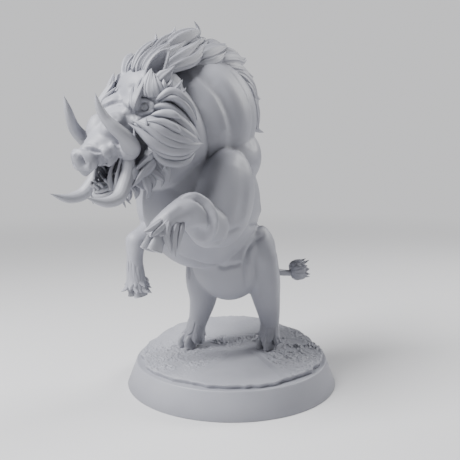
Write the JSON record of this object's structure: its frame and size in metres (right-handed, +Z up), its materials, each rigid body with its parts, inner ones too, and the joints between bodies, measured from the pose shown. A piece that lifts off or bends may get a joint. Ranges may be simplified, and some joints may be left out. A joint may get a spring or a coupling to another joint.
{
  "type": "wild boar figurine",
  "caption": "Still figurine of a rearing wild boar with curved tusks, a spiky mane and raised forelegs, standing on a round tapered base with rough stone ground.",
  "frame": {"origin": "centre of the round base's underside", "axes": "+Z up, through the base's centre and the boar's height; -Y is the way the boar's body and head face; +X is the boar's left"},
  "size_m": [0.05, 0.0702, 0.083],
  "materials": {
    "resin": "unpainted light grey cast resin, matte, with a slight cool tint"
  },
  "bodies": {
    "root": {"base_disc": "resin", "base_ground": "resin", "beard": "resin", "brow_left": "resin", "brow_right": "resin", "ear_left": "resin", "ear_right": "resin", "eye_left": "resin", "eye_right": "resin", "fore_fringe_left": "resin", "fore_fringe_right": "resin", "fore_hoof_left": "resin", "fore_hoof_right": "resin", "foreleg_left": "resin", "foreleg_right": "resin", "head": "resin", "hind_fringe_left": "resin", "hind_fringe_right": "resin", "hind_hoof_left": "resin", "hind_hoof_right": "resin", "hind_leg_left": "resin", "hind_leg_right": "resin", "lower_jaw": "resin", "lower_tusk_left": "resin", "lower_tusk_right": "resin", "mane": "resin", "neck": "resin", "ruff_left": "resin", "ruff_right": "resin", "tail": "resin", "tail_tuft": "resin", "tongue": "resin", "trunk": "resin", "upper_tusk_left": "resin", "upper_tusk_right": "resin"}
  },
  "joints": []
}
